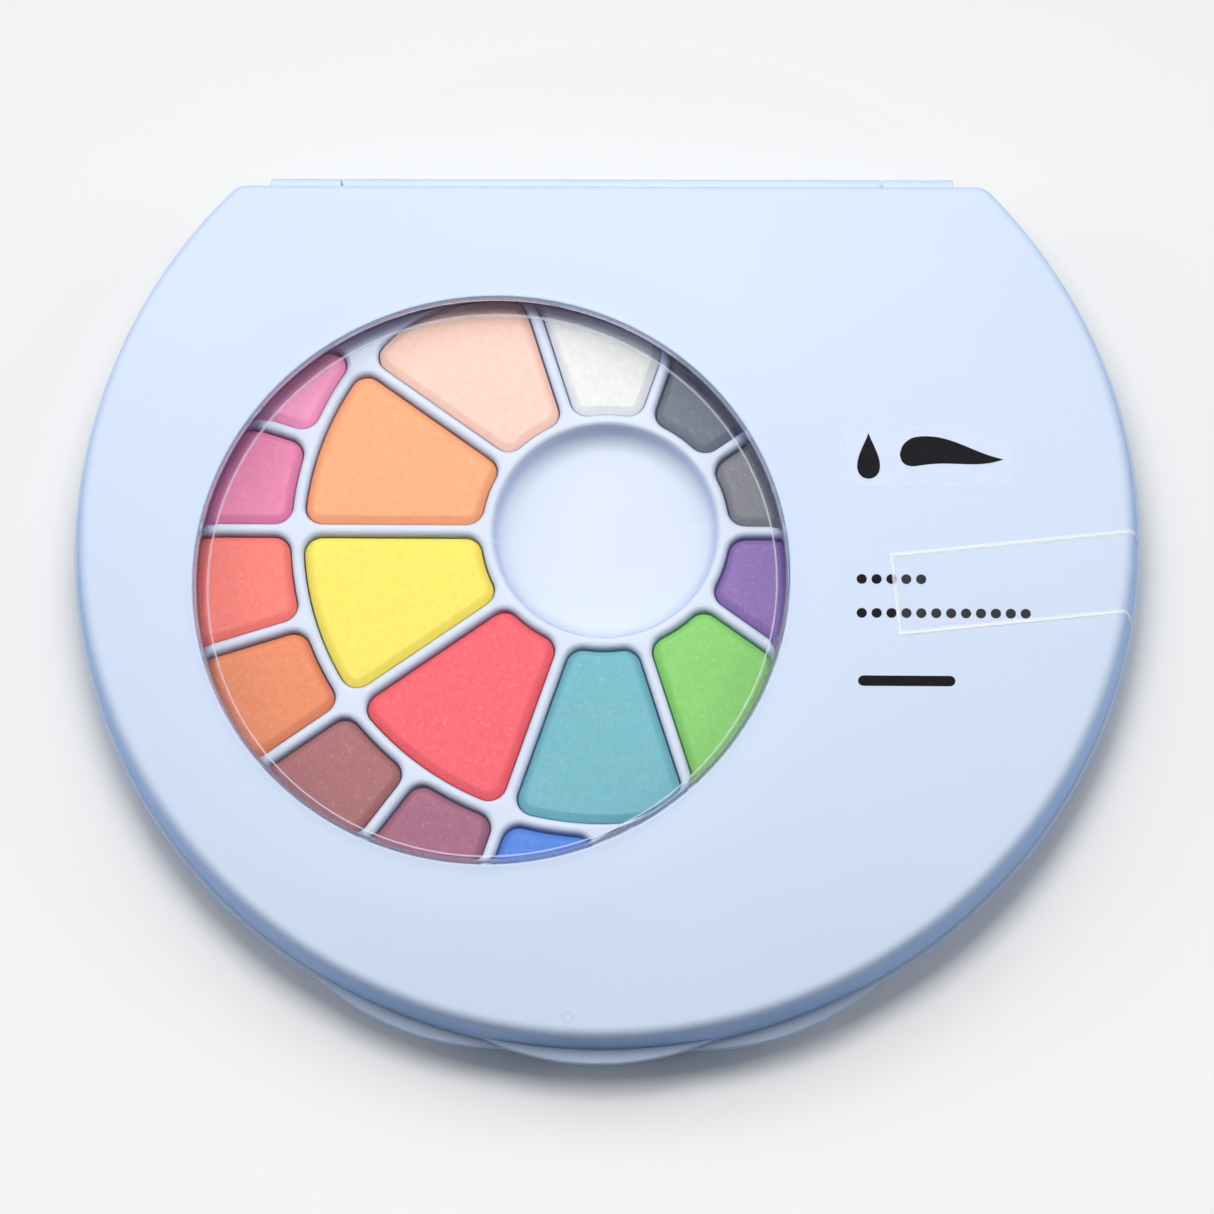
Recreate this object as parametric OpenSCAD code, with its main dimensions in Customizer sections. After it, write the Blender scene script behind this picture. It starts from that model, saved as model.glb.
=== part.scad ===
// Round watercolour case with a flat hinged back: a base with a tray of pressed paint
// cakes around a mixing well, and a lid with a clear dished window.
// The case circle is centred on the Z axis, the hinge runs along X at the back (+Y),
// and Z = 0 is the face that the case rests on.

/* [Case] */
// Radius of the case rim
case_r = 100.2; // [98:0.1:104]
// Distance from the case centre to the flat back
back_y = 69.6; // [68:0.1:71]
// Height of the closed case
case_h = 20; // [19:0.5:22]
// Height of the parting plane between base and lid
part_z = 12.5; // [12:0.1:13]
// Gap between lid and base at the parting plane
part_gap = 0.3; // [0.2:0.05:0.4]
// Wall thickness of base and lid
wall = 1.6; // [1.4:0.1:1.8]
// Radius of the upright corners beside the hinge
corner_r = 4; // [2:0.5:5]

/* [Front tabs] */
// Radius of the arc that each tab follows
tab_arc_r = 49; // [45:1:52]
// Distance from the case centre to the tip of a tab
tab_tip_r = 102; // [101.5:0.1:103]
// Thickness of a tab
tab_t = 1.3; // [1:0.1:1.5]
// Angle between the lid's tab and each of the base's tabs
tab_pitch = 20.2; // [19:0.1:22]

/* [Hinge] */
// Distance from the case centre to the hinge axis
axis_y = 69.9; // [69.8:0.05:70.2]
// Radius of the hinge knuckles
knuckle_r = 1.9; // [1.8:0.1:2.1]
// Half length of the lid's middle knuckle
mid_knuckle_half = 51.7; // [48:0.1:54]
// Outer end of the base's end knuckles
end_knuckle_x = 65.6; // [63:0.1:67]
// Radius of the steel hinge pins
pin_r = 0.75; // [0.6:0.05:0.8]
// Running clearance around a pin, on the radius
pin_clear = 0.07; // [0.03:0.01:0.1]
// Length of a hinge pin
pin_len = 25; // [20:1:30]

/* [Window] */
// Sideways place of the window's centre
window_x = -21; // [-23:0.5:-19]
// Front-to-back place of the window's centre
window_y = -10.7; // [-13:0.1:-9]
// Radius of the hole in the lid
window_r = 55.6; // [54:0.1:57]
// Width of the shallow cone around the hole
cone_w = 10; // [6:1:12]
// Depth of the shallow cone around the hole
cone_d = 0.4; // [0.2:0.1:0.5]
// Thickness of the clear window
window_t = 1.1; // [0.9:0.1:1.2]
// Depth of the window's floor below the lid's top
window_drop = 3.8; // [3.6:0.1:3.9]

/* [Paint tray] */
// Height of the rib crowns
crown_z = 14; // [13.6:0.1:14]
// Depth of the pans below the rib crowns
pan_depth = 6.2; // [5:0.1:6.5]
// Thickness of the tray's floors
floor_t = 1.2; // [1:0.1:1.4]
// Radius of the mixing well at the rib crowns
well_r = 21; // [19:0.5:21.5]
// Depth of the mixing well
well_depth = 4.6; // [4.2:0.1:5]
// Inner edge of the inner ring of paints
ring1_in = 23.5; // [23:0.1:25]
// Middle of the rib between the two rings of paints
ring_mid = 58; // [56:0.1:60]
// Outer edge of the outer ring of paints
ring2_out = 89; // [84:0.5:91]
// Width of a rib, from cake to cake
rib_w = 2.7; // [2.4:0.1:3.2]
// Corner radius of a paint cake
cake_corner = 3.2; // [2:0.1:4]
// Gap between a cake and its pan
cake_gap = 0.25; // [0.15:0.05:0.3]
// Height of the cakes below the rib crowns
cake_drop = 0.7; // [0.5:0.1:1]

/* [Seal] */
// Width of the clear seal film
seal_w = 16; // [12:1:20]
// Thickness of the clear seal film
seal_t = 0.12; // [0.08:0.01:0.2]
// Inner end of the film, from the case centre
seal_x = 52; // [50:0.5:60]
// Offset of the film from the case's middle line
seal_y = -28.1; // [-32:0.1:-20]
// Tilt of the film
seal_tilt = 6.3; // [0:0.1:10]

/* [Hidden] */
$fn = 96;
eps = 0.01;
top_round = 2;                 // rounding of the lid's upper edge
foot_round = 3.5;              // rounding of the base's lower edge
rim_t = 1.5;                   // height of the base's outer rim
rim_w = 1.2;                   // overhang of the base's outer rim
rim_back = 0.25;               // the same at the back, where the open lid hangs
lip_h = 1.2;                   // height of the locating lip above the rim
lip_w = 1.2;                   // thickness of the locating lip
lip_gap = 0.55;                // from the lip to the lid's wall
lid_r = case_r - 0.6;          // lid radius at the parting plane
lid_lean = 1.03;               // how far the lid's wall leans in at its top
back_lean = 1.6;               // the same at the flat back
lid_z0 = part_z + part_gap / 2;
base_z1 = part_z - part_gap / 2;
base_r = case_r - rim_w;       // base wall under the rim
base_lean = 1.8;               // how far the base's wall leans in at its foot
lip_r = lid_r - wall - lip_gap;
lip_y = back_y - wall - lip_gap - 0.1;
lip_corner = corner_r - wall - lip_gap;
ceiling_z = case_h - wall;
tray_z0 = crown_z - pan_depth - floor_t;
tray_r = lip_r - lip_w - 0.25;
tray_y = lip_y - lip_w - 0.25;
tray_corner = 2.5;
cake_top = crown_z - cake_drop;
cake_z0 = crown_z - pan_depth + 0.1;
window_floor = case_h - window_drop;

inner_names = ["paint_grey", "paint_charcoal", "paint_white", "paint_peach", "paint_orange",
    "paint_yellow", "paint_red", "paint_teal", "paint_green", "paint_purple"];
inner_colors = ["#8b8a8f", "#6f7580", "#f1f0ec", "#fdd3c2", "#fcaa78",
    "#fde560", "#f8626a", "#74b7c1", "#8bd06c", "#8f6fb0"];
outer_names = ["paint_pink", "paint_rose", "paint_coral", "paint_terracotta", "paint_brown",
    "paint_plum", "paint_blue", "paint_navy", "paint_sky", "paint_emerald",
    "paint_olive", "paint_lime", "paint_ochre", "paint_lilac"];
outer_colors = ["#f68db6", "#e884aa", "#fc7f72", "#ec8d60", "#ab6c6c",
    "#a6687d", "#588ade", "#39508f", "#7fb7e6", "#2f8f72",
    "#8a8f4a", "#b9d65a", "#d5a24a", "#b79ad6"];
inner_step = 36;
outer_step = 18;
outer_start = 144;             // the flat back takes the sectors before this one

// ---------- outlines ----------

// Points of an arc about c, both ends included
function arc(c, r, a0, a1, n) =
    [for (i = [0 : n]) c + r * [cos(a0 + (a1 - a0) * i / n), sin(a0 + (a1 - a0) * i / n)]];

function turn(a, p) = [p.x * cos(a) - p.y * sin(a), p.x * sin(a) + p.y * cos(a)];

// A sector between two ribs at a0 and a1, from r0 to r1, with rounded corners.
// h is half of the rib's width, f the corner radius
function sector(a0, a1, r0, r1, h, f) =
    let (
        out_d = sqrt(pow(r1 - f, 2) - pow(h + f, 2)),
        in_d = sqrt(pow(r0 + f, 2) - pow(h + f, 2)),
        out_a = asin((h + f) / (r1 - f)),
        in_a = asin((h + f) / (r0 + f))
    )
    concat(
        arc(turn(a0, [out_d, h + f]), f, a0 - 90, a0 + out_a, 5),
        arc([0, 0], r1, a0 + out_a, a1 - out_a, 8),
        arc(turn(a1, [out_d, -h - f]), f, a1 - out_a, a1 + 90, 5),
        arc(turn(a1, [in_d, -h - f]), f, a1 + 90, a1 - in_a + 180, 5),
        arc([0, 0], r0, a1 - in_a, a0 + in_a, 4),
        arc(turn(a0, [in_d, h + f]), f, a0 + in_a + 180, a0 + 270, 5)
    );

// Centre and end of the rounded corner between a circle of radius r and a flat back at y
function corner_x(r, y, f) = sqrt(pow(r - f, 2) - pow(y - f, 2));
function corner_end(r, y, f) = (y - f) * r / (r - f);

// A circle of radius r with a flat back at y and corners rounded to f
module d_outline(r, y, f) {
    cx = corner_x(r, y, f);
    from = atan2(y - f, cx);
    polygon(concat(
        arc([-cx, y - f], f, 90, 180 - from, 5),
        arc([0, 0], r, 180 - from, 360 + from, 96),
        arc([cx, y - f], f, from, 90, 5)
    ));
}

module d_plate(r, y, f, z0, z1) {
    translate([0, 0, z0]) linear_extrude(z1 - z0) d_outline(r, y, f);
}

module d_ring(r, y, f, t, z0, z1) {
    translate([0, 0, z0]) linear_extrude(z1 - z0) difference() {
        d_outline(r, y, f);
        d_outline(r - t, y - t, max(f - t, 0.5));
    }
}

// ---------- shell forms ----------

// Half section of a shell's skin: a wall that leans in by lean over the height h, and a
// rounded edge. g grows it outwards
module half_section(edge, lean, round, h, g = 0) {
    angle = atan(lean / (h - round));
    centre = edge - lean - round;
    polygon([[0, 0], [edge + g, 0],
        [centre + (round + g) * cos(angle), h - round + (round + g) * sin(angle)],
        [centre, h - round], [centre, h + g], [0, h + g]]);
    translate([centre, h - round]) circle(round + g);
}

// Runs a profile of the YZ plane along X, centred
module along_x(half) {
    translate([-half, 0, 0]) rotate([90, 0, 90]) linear_extrude(2 * half) children();
}

// A round form with a flat back at y, wide end down
module flat_backed(r, y, lean_r, lean_y, round, h) {
    intersection() {
        rotate_extrude() half_section(r, lean_r, round, h);
        along_x(r) union() {
            half_section(y, lean_y, round, h);
            translate([-r, 0]) square([r + eps, h]);
        }
    }
}

// The same with leaning corners of radius f
module shell_form(r, y, f, lean_r, lean_y, round, h) {
    cx = corner_x(r, y, f);
    intersection() {
        flat_backed(r, y, lean_r, lean_y, round, h);
        union() {
            translate([-cx, -r, 0]) cube([2 * cx, 2 * r, h]);
            along_x(r) polygon([[-r, 0], [corner_end(r, y, f), 0],
                [corner_end(r, y - lean_y, f), h], [-r, h]]);
            for (side = [-1, 1]) translate([side * cx, y - f, 0])
                corner_post(f, lean_y, round, h);
        }
    }
}

// A leaning corner with a rounded top
module corner_post(f, lean, round, h) {
    intersection() {
        rotate([atan(lean / (h - round)), 0, 0]) translate([0, 0, -f]) cylinder(r = f, h = h + f);
        translate([-h - f, -h - f, 0]) cube([2 * (h + f), 2 * (h + f), h - round]);
    }
    translate([0, -lean, h - round]) rotate_extrude() intersection() {
        union() {
            square([f - round, round]);
            translate([f - round, 0]) circle(round);
        }
        square(2 * f);
    }
}

module lid_skin() {
    translate([0, 0, lid_z0])
        shell_form(lid_r, back_y, corner_r, lid_lean, back_lean, top_round, case_h - lid_z0);
}

// The lid's hollow, carried on below its edge at the same slope
module lid_hollow() {
    round = top_round - 1;
    h = ceiling_z - lid_z0;
    spread = 1 / (h - round);
    translate([0, 0, lid_z0 - 1]) flat_backed(lid_r - wall + lid_lean * spread,
        back_y - wall + back_lean * spread, lid_lean * (1 + spread), back_lean * (1 + spread),
        round, h + 1);
}

module base_skin() {
    translate([0, 0, part_z]) mirror([0, 0, 1])
        shell_form(base_r, back_y, corner_r, base_lean, base_lean, foot_round, part_z);
}

// The base's hollow under its rim
module base_hollow() {
    intersection() {
        translate([0, 0, part_z]) mirror([0, 0, 1]) flat_backed(base_r - wall, back_y - wall,
            base_lean, base_lean, foot_round - wall, part_z - wall);
        translate([-case_r, -case_r, 0]) cube([2 * case_r, 2 * case_r, base_z1 - rim_t]);
    }
}

// A tab is the part of an offset circle that stands out past the shell
module tab(angle, inner_r, z0) {
    rotate([0, 0, angle]) translate([0, 0, z0]) linear_extrude(tab_t) difference() {
        translate([tab_tip_r - tab_arc_r, 0]) circle(tab_arc_r);
        circle(inner_r);
    }
}

module hinge_rod(x0, x1, r) {
    translate([x0, axis_y, part_z]) rotate([0, 90, 0]) cylinder(r = r, h = x1 - x0);
}

module at_window() {
    translate([window_x, window_y, 0]) children();
}

// ---------- base ----------

module base_shell() color("#cfdef4") difference() {
    union() {
        difference() {
            union() {
                base_skin();
                d_plate(case_r, back_y + rim_back, corner_r, base_z1 - rim_t, base_z1);
                d_plate(lip_r, lip_y, lip_corner, base_z1 - rim_t, base_z1 + lip_h);
            }
            // The skin runs up to the parting plane, so the gap is cut off it
            translate([0, 0, base_z1]) linear_extrude(case_h) difference() {
                square(3 * case_r, center = true);
                d_outline(lip_r, lip_y, lip_corner);
            }
            base_hollow();
            d_plate(lip_r - lip_w, lip_y - lip_w, 1, base_z1 - rim_t - 0.5, case_h);
        }
        // Walls under the tray's edge and under the well
        d_ring(tray_r - 2.2, tray_y - 2.2, tray_corner, 1.2, wall - eps, crown_z - floor_t);
        translate([0, 0, wall - eps]) linear_extrude(tray_z0 - wall + eps) difference() {
            circle(ring1_in - 1);
            circle(ring1_in - 2.2);
        }
        for (side = [-1, 1]) tab(270 + side * tab_pitch, base_r - 1, base_z1 - tab_t);
        hinge_rod(-end_knuckle_x, end_knuckle_x, knuckle_r);
    }
    // Room for the lid's knuckle, then the bores for the two pins
    hinge_rod(-mid_knuckle_half - 0.3, mid_knuckle_half + 0.3, knuckle_r + 0.3);
    hinge_rod(-end_knuckle_x - eps, end_knuckle_x + eps, pin_r);
}

// ---------- tray ----------

module pan_tray() color("#dbe4f3") difference() {
    d_plate(tray_r, tray_y, tray_corner, tray_z0, crown_z);
    translate([0, 0, crown_z - pan_depth]) linear_extrude(pan_depth + 1) {
        for (i = [0 : len(inner_names) - 1]) polygon(inner_sector(i, -cake_gap));
        for (i = [0 : len(outer_names) - 1]) polygon(outer_sector(i, -cake_gap));
    }
    mixing_well();
    // Hollow under the well
    translate([0, 0, tray_z0 - 1])
        cylinder(r = well_r - 6, h = crown_z - well_depth - floor_t - tray_z0 + 1);
    // Hollow under the edge and under the plain back, around the pans
    translate([0, 0, tray_z0 - 1]) linear_extrude(pan_depth + 1) difference() {
        d_outline(tray_r - 1.3, tray_y - 1.3, tray_corner - 1.3);
        circle(ring_mid + 2);
        difference() {
            circle(ring2_out + cake_gap + floor_t);
            polygon([[0, 0], turn(inner_step, [2 * case_r, 0]), turn(outer_start, [2 * case_r, 0])]);
        }
    }
}

// The well is a flat floor with a wide round fillet up to its edge
module mixing_well() {
    fillet = well_depth + 0.4;
    floor_z = crown_z - well_depth;
    translate([0, 0, floor_z]) cylinder(r = well_r - fillet, h = well_depth + 1);
    rotate_extrude() translate([well_r - fillet, floor_z + fillet]) circle(fillet);
}

// ---------- paints ----------

// g makes the outline smaller all round, so a negative g makes the pan
function inner_sector(i, g) = sector(i * inner_step, (i + 1) * inner_step, ring1_in + g,
    ring_mid - rib_w / 2 - g, rib_w / 2 + g, max(cake_corner - g, 0.6));

function outer_sector(i, g) = sector(outer_start + i * outer_step,
    outer_start + (i + 1) * outer_step, ring_mid + rib_w / 2 + g, ring2_out - g,
    rib_w / 2 + g, max(cake_corner - g, 0.6));

// A pressed block with a lower step round its top
module cake(edge, top) {
    translate([0, 0, cake_z0]) linear_extrude(cake_top - 0.7 - cake_z0) polygon(edge);
    translate([0, 0, cake_z0]) linear_extrude(cake_top - cake_z0) polygon(top);
}

module inner_paint(i) color(inner_colors[i]) cake(inner_sector(i, 0), inner_sector(i, 1.4));

module outer_paint(i) color(outer_colors[i]) cake(outer_sector(i, 0), outer_sector(i, 1.4));

// ---------- lid ----------

module lid_shell() color("#dce7f9") difference() {
    union() {
        difference() {
            lid_skin();
            lid_hollow();
        }
        tab(270, lid_r - 1, lid_z0);
        hinge_rod(-mid_knuckle_half, mid_knuckle_half, knuckle_r);
        // Ring that the window's flange sits inside
        at_window() translate([0, 0, ceiling_z - 1]) difference() {
            cylinder(r = window_r + 6.3, h = 1 + eps);
            translate([0, 0, -1]) cylinder(r = window_r + 5.3, h = 3);
        }
    }
    at_window() {
        cylinder(r = window_r, h = case_h + 1);
        translate([0, 0, case_h - cone_d])
            cylinder(r1 = window_r, r2 = window_r + cone_w, h = cone_d + eps);
    }
    // Room for the base's knuckles, then the bores for the two pins
    for (side = [-1, 1]) {
        x0 = side * (mid_knuckle_half + end_knuckle_x + 0.3) / 2;
        half = (end_knuckle_x - mid_knuckle_half + 0.3) / 2;
        hinge_rod(x0 - half, x0 + half, knuckle_r + 0.3);
        hinge_rod(side * mid_knuckle_half - 13, side * mid_knuckle_half + 13, pin_r + pin_clear);
    }
}

// Clear dish: a flange glued under the lid, a leaning wall and a flat floor
module window_panel() color("#e8f1fb", 0.35) at_window() rotate_extrude() polygon([
    [0, window_floor],
    [window_r - 1.7, window_floor],
    [window_r - 0.7, case_h - cone_d - 0.1],
    [window_r - 0.1, case_h - cone_d - 0.1],
    [window_r - 0.1, ceiling_z],
    [window_r + 5, ceiling_z],
    [window_r + 5, ceiling_z - window_t],
    [window_r - 0.1, ceiling_z - window_t],
    [window_r - 0.7, window_floor - window_t],
    [0, window_floor - window_t]
]);

// Thin film laid over the lid's top and down its side
module seal_film() color("#f4f8ff", 0.3) intersection() {
    translate([0, 0, lid_z0]) rotate_extrude() difference() {
        half_section(lid_r, lid_lean, top_round, case_h - lid_z0, seal_t);
        half_section(lid_r, lid_lean, top_round, case_h - lid_z0);
    }
    rotate([0, 0, seal_tilt]) translate([seal_x, seal_y, lid_z0]) cube([case_r, seal_w, case_h]);
}

// ---------- hinge pins ----------

module hinge_pin(side) color("#b9bcc2") {
    outer_end = end_knuckle_x - 0.3;
    if (side > 0) hinge_rod(outer_end - pin_len, outer_end, pin_r);
    if (side < 0) hinge_rod(-outer_end, pin_len - outer_end, pin_r);
}

base_shell();
pan_tray();
lid_shell();
window_panel();
hinge_pin(-1);  // hinge_pin_left
hinge_pin(1);  // hinge_pin_right
seal_film();
for (i = [0 : len(inner_names) - 1]) inner_paint(i);
for (i = [0 : len(outer_names) - 1]) outer_paint(i);
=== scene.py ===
import bpy, bmesh, math
from mathutils import Matrix, Vector


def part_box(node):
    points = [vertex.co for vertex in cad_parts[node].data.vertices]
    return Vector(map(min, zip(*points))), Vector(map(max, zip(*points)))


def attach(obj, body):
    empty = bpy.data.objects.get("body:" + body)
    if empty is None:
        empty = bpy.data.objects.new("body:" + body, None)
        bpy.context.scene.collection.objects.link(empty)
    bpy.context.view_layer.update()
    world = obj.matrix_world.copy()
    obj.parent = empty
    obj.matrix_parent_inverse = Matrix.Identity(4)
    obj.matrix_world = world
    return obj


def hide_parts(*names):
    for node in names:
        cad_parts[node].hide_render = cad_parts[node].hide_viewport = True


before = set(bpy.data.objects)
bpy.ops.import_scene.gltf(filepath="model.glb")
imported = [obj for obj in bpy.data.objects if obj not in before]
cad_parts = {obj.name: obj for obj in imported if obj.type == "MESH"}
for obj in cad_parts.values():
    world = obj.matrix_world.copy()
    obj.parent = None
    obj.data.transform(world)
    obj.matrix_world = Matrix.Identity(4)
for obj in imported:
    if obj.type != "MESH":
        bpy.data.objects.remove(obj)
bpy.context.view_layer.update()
mm = 0.001
print("frame loaded")


# ---- small tools ----

def linear(hexCode, alpha=1.0):  # sRGB hex to the linear colour that shaders want
    parts = [int(hexCode[i:i + 2], 16) / 255 for i in (1, 3, 5)]
    return [c / 12.92 if c <= 0.04045 else ((c + 0.055) / 1.055) ** 2.4 for c in parts] + [alpha]


def addNode(tree, kind, inputs=None, **settings):  # inputs are plain values or sockets to link
    node = tree.nodes.new(kind)
    node.location = (190 * (len(tree.nodes) % 9), -240 * (len(tree.nodes) // 9))
    for key, value in settings.items():
        setattr(node, key, value)
    for key, value in (inputs or {}).items():
        if isinstance(value, bpy.types.NodeSocket):
            tree.links.new(value, node.inputs[key])
        else:
            node.inputs[key].default_value = value
    return node


def newMaterial(name):
    material = bpy.data.materials.new(name)
    material.use_nodes = True
    material.node_tree.nodes.clear()
    return material, material.node_tree


def loft(bm, rings, closed=False, capStart=False, capEnd=False):  # rings of equal length, in mm
    rows = [[bm.verts.new(Vector(p)) for p in ring] for ring in rings]
    pairs = list(zip(rows, rows[1:])) + ([(rows[-1], rows[0])] if closed else [])
    for a, b in pairs:
        for i in range(len(a)):
            j = (i + 1) % len(a)
            bm.faces.new((a[i], a[j], b[j], b[i]))
    if capStart:
        bm.faces.new(rows[0])
    if capEnd:
        bm.faces.new(rows[-1])
    return rows


def makeObject(name, bm, material, sharp=35, recalc=True):
    if recalc:
        bmesh.ops.recalc_face_normals(bm, faces=bm.faces)
    for v in bm.verts:
        v.co *= mm
    mesh = bpy.data.meshes.new(name)
    bm.to_mesh(mesh)
    bm.free()
    mesh.shade_smooth()
    mesh.set_sharp_from_angle(angle=math.radians(sharp))
    obj = bpy.data.objects.new(name, mesh)
    bpy.context.scene.collection.objects.link(obj)
    if material:
        mesh.materials.append(material)
    return obj


def bakeModifiers(obj):  # what the modifiers make becomes the plain mesh
    graph = bpy.context.evaluated_depsgraph_get()
    mesh = bpy.data.meshes.new_from_object(obj.evaluated_get(graph))
    obj.modifiers.clear()
    obj.data = mesh
    return obj


def cutAway(obj, cutters, sharp=35):
    for cutter in cutters:
        mod = obj.modifiers.new("cut", "BOOLEAN")
        mod.operation, mod.solver, mod.object = "DIFFERENCE", "EXACT", cutter
    bakeModifiers(obj)
    for cutter in cutters:
        bpy.data.objects.remove(cutter)
    obj.data.shade_smooth()
    obj.data.set_sharp_from_angle(angle=math.radians(sharp))


def arcPoints(centre, radius, start, end, count, last=True):
    steps = count if last else count - 1
    angles = [start + (end - start) * i / count for i in range(steps + 1)]
    return [(centre[0] + radius * math.cos(a), centre[1] + radius * math.sin(a)) for a in angles]


def cornerArc(x, z, radius, start, end, steps=5):  # profile points round a corner, degrees
    return arcPoints((x, z), radius, math.radians(start), math.radians(end), steps)


# A circle of radius r with a flat back at y and corners rounded to f, at height z
def flatBackRing(r, y, f, z):
    cx, cy = math.sqrt((r - f) ** 2 - (y - f) ** 2), y - f
    a = math.atan2(cy, cx)
    points = arcPoints((cx, cy), f, a, math.pi / 2, 10, last=False)
    points += [(cx - 2 * cx * i / 48, y) for i in range(48)]
    points += arcPoints((-cx, cy), f, math.pi / 2, math.pi - a, 10, last=False)
    points += arcPoints((0, 0), r, math.pi - a, 2 * math.pi + a, 300, last=False)
    return [(px, py, z) for px, py in points]


def circleRing(centre, r, z, count=256):
    return [(centre[0] + r * math.cos(2 * math.pi * i / count),
             centre[1] + r * math.sin(2 * math.pi * i / count), z) for i in range(count)]


# The outline between two ribs at turns a0 and a1, from r0 to r1, moved inwards by g
def sectorRing(a0, a1, r0, r1, halfRib, corner, g, z, fine=1):
    r0, r1, h, f = r0 + g, r1 - g, halfRib + g, max(corner - g, 0.25)
    outD, inD = math.sqrt((r1 - f) ** 2 - (h + f) ** 2), math.sqrt((r0 + f) ** 2 - (h + f) ** 2)
    outA, inA = math.asin((h + f) / (r1 - f)), math.asin((h + f) / (r0 + f))
    quarter = math.pi / 2

    def turned(a, x, y):
        return (x * math.cos(a) - y * math.sin(a), x * math.sin(a) + y * math.cos(a))

    points = arcPoints(turned(a0, outD, h + f), f, a0 - quarter, a0 + outA, 7)
    points += arcPoints((0, 0), r1, a0 + outA, a1 - outA, 18 * fine)[1:-1]
    points += arcPoints(turned(a1, outD, -h - f), f, a1 - outA, a1 + quarter, 7)
    points += arcPoints(turned(a1, inD, -h - f), f, a1 + quarter, a1 - inA + math.pi, 7)
    points += arcPoints((0, 0), r0, a1 - inA, a0 + inA, 10 * fine)[1:-1]
    points += arcPoints(turned(a0, inD, h + f), f, a0 + inA + math.pi, a0 + 3 * quarter, 7)
    return [(px, py, z) for px, py in points]


# ---- sizes that the pieces share, read off the frame ----

lidHigh = Vector(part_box("lid_shell")[1]) / mm
baseHigh = Vector(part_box("base_shell")[1]) / mm
trayLow, trayHigh = [Vector(c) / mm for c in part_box("pan_tray")]
windowLow, windowHigh = [Vector(c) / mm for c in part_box("window_panel")]
pinLow, pinHigh = [Vector(c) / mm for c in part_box("hinge_pin_right")]
hingeY, hingeZ = (pinLow.y + pinHigh.y) / 2, (pinLow.z + pinHigh.z) / 2
windowAt = ((windowLow.x + windowHigh.x) / 2, (windowLow.y + windowHigh.y) / 2)
topZ = 20.0
lidR = lidHigh.x
baseR = baseHigh.x
backY = 69.6
wall = 1.6
lidZ, rimZ = hingeZ + 0.15, hingeZ - 0.15


# ---- plastics ----

# Injection-moulded ABS: even colour right through, a satin skin from a fine spark-eroded mould, a
# painted shade that turns steep faces a darker blue, and hairline rubs where the case has slid in
# and out of a bag
def mouldedPlastic(name, look):
    material, tree = newMaterial(name)
    place = addNode(tree, "ShaderNodeTexCoord").outputs["Object"]
    # the melt's cloudy flow, 50 mm wide
    flow = addNode(tree, "ShaderNodeTexNoise", {"Vector": place, "Scale": 18.0, "Detail": 3.0,
                                                "Roughness": 0.5})
    tint = addNode(tree, "ShaderNodeMix", {
        "Factor": flow.outputs["Fac"], "A": linear(look["shade"]), "B": linear(look["light"])},
        data_type="RGBA")
    # painted shade: faces that tilt away from level are mixed towards the darker blue steep colour
    slope = addNode(tree, "ShaderNodeSeparateXYZ", {
        0: addNode(tree, "ShaderNodeNewGeometry").outputs["Normal"]}).outputs["Z"]
    level = addNode(tree, "ShaderNodeMath", {0: slope}, operation="ABSOLUTE")
    steep = addNode(tree, "ShaderNodeMapRange", {"Value": level.outputs[0], "From Min": 0.2,
                                                 "From Max": 0.95, "To Min": 1.0, "To Max": 0.0})
    sideShaded = addNode(tree, "ShaderNodeMix", {"Factor": steep.outputs["Result"],
                                           "A": tint.outputs["Result"], "B": linear(look["steep"])},
                   data_type="RGBA")
    grain = addNode(tree, "ShaderNodeTexNoise", {"Vector": place, "Scale": 1 / (look["grain"] * mm),
                                                 "Detail": 2.0})
    # rubs about 17 mm long and 0.8 mm wide
    stretched = addNode(tree, "ShaderNodeMapping", {"Vector": place, "Rotation": (0, 0, 0.7),
                                                    "Scale": (1.0, 22.0, 1.0)})
    rubs = addNode(tree, "ShaderNodeTexNoise", {"Vector": stretched.outputs[0], "Scale": 60.0,
                                                "Detail": 4.0, "Roughness": 0.6})
    fewRubs = addNode(tree, "ShaderNodeMapRange", {"Value": rubs.outputs["Fac"], "From Min": 0.6,
                                                   "From Max": 0.75, "To Min": look["rough"],
                                                   "To Max": look["rough"] + 0.12})
    bump = addNode(tree, "ShaderNodeBump", {
        "Height": grain.outputs["Fac"], "Strength": look["bump"], "Distance": 0.02 * mm})
    skin = addNode(tree, "ShaderNodeBsdfPrincipled", {
        "Base Color": sideShaded.outputs["Result"], "Roughness": fewRubs.outputs["Result"],
        "Normal": bump.outputs["Normal"], "IOR": 1.5})
    addNode(tree, "ShaderNodeOutputMaterial", {"Surface": skin.outputs["BSDF"]})
    return material


# in each look, the steep colour is a painted shade that steep faces take
caseAbs = mouldedPlastic("caseAbs", {
    "shade": "#bdcce2", "light": "#c5d2e7", "steep": "#90b4e8", "rough": 0.42, "grain": 0.35,
    "bump": 0.25})
trayStyrene = mouldedPlastic("trayStyrene", {
    "shade": "#d1dae9", "light": "#d6deeb", "steep": "#b4c5e6", "rough": 0.22, "grain": 0.6,
    "bump": 0.12})
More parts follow.
